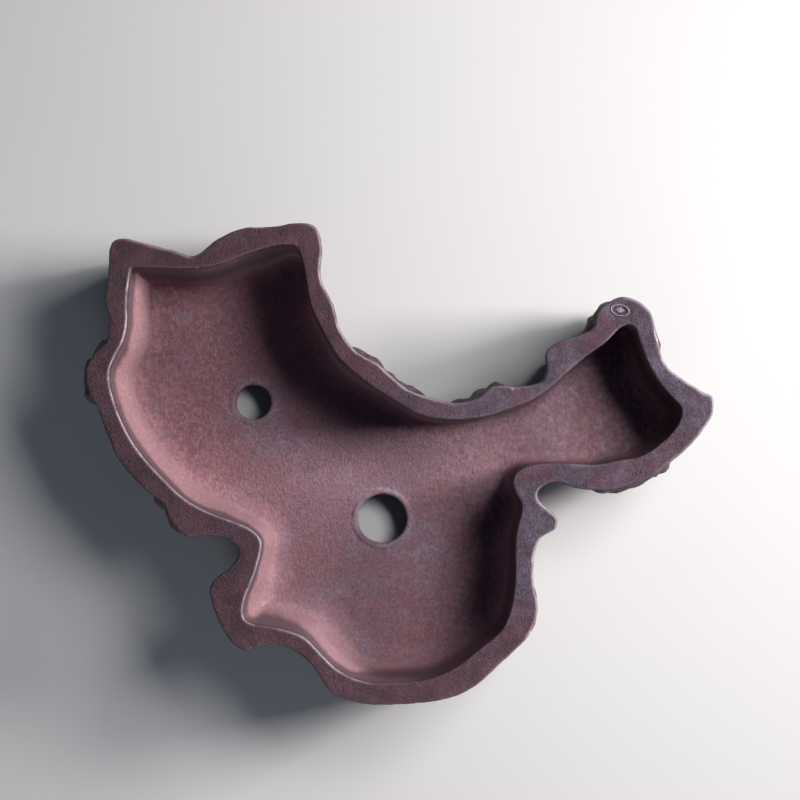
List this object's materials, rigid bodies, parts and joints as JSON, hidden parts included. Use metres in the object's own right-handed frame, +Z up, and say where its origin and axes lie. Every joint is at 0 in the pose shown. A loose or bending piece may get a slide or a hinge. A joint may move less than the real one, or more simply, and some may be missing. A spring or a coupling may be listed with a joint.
{
  "type": "bonsai pot",
  "caption": "Shallow rock-shaped bonsai pot of unglazed purple clay, with a flat irregular rim, drain holes, low feet and rough stone lumps outside.",
  "frame": {"origin": "below the middle of the pot's bounding box, on the surface that the feet stand on", "axes": "+Z up, out of the hollow; +X towards the narrow arm, along the pot's greatest length; +Y towards the two pointed lobes of the wide side"},
  "size_m": [0.2606, 0.1978, 0.058],
  "materials": {
    "floor_clay": "unglazed fired stoneware, matte, fine grain",
    "wall_clay": "unglazed fired stoneware, matte, fine grain",
    "coil_clay": "unglazed fired stoneware, matte, fine grain",
    "rim_clay": "unglazed fired stoneware, matte, fine grain",
    "rock_clay": "unglazed fired stoneware, matte, fine grain",
    "foot_clay": "unglazed fired stoneware, matte, fine grain"
  },
  "bodies": {
    "root": {"floor_slab": "floor_clay", "wall_north": "wall_clay", "wall_neck_slope": "wall_clay", "wall_neck_north": "wall_clay", "wall_arm_north": "wall_clay", "wall_arm_east": "wall_clay", "wall_arm_south": "wall_clay", "wall_south_east": "wall_clay", "wall_south": "wall_clay", "wall_south_west": "wall_clay", "wall_notch": "wall_clay", "wall_west_low": "wall_clay", "wall_west": "wall_clay", "wall_north_west": "wall_clay", "coil_north": "coil_clay", "coil_neck_slope": "coil_clay", "coil_neck_north": "coil_clay", "coil_arm_north": "coil_clay", "coil_arm_east": "coil_clay", "coil_arm_south": "coil_clay", "coil_south_east": "coil_clay", "coil_south": "coil_clay", "coil_south_west": "coil_clay", "coil_notch": "coil_clay", "coil_west_low": "coil_clay", "coil_west": "coil_clay", "coil_north_west": "coil_clay", "rim_north": "rim_clay", "rim_neck_slope": "rim_clay", "rim_neck_north": "rim_clay", "rim_arm_tip": "rim_clay", "rim_arm_east": "rim_clay", "rim_arm_south": "rim_clay", "rim_knob": "rim_clay", "rim_south_east": "rim_clay", "rim_south_west": "rim_clay", "rim_hook": "rim_clay", "rim_notch": "rim_clay", "rim_west": "rim_clay", "rim_north_west": "rim_clay", "rock_north_ledge": "rock_clay", "rock_north_crag": "rock_clay", "rock_shoulder_crag": "rock_clay", "rock_neck_ridge": "rock_clay", "rock_neck_ledge": "rock_clay", "rock_arm_crag": "rock_clay", "rock_arm_side_crag": "rock_clay", "rock_arm_boulder": "rock_clay", "rock_south_east_ridge": "rock_clay", "rock_south_ledge": "rock_clay", "rock_south_west_ridge": "rock_clay", "rock_west_boulder": "rock_clay", "rock_west_ledge": "rock_clay", "rock_north_west_boulder": "rock_clay", "rock_north_west_ledge": "rock_clay", "foot_north_west": "foot_clay", "foot_west": "foot_clay", "foot_south": "foot_clay", "foot_south_east": "foot_clay", "foot_east": "foot_clay"}
  },
  "joints": []
}
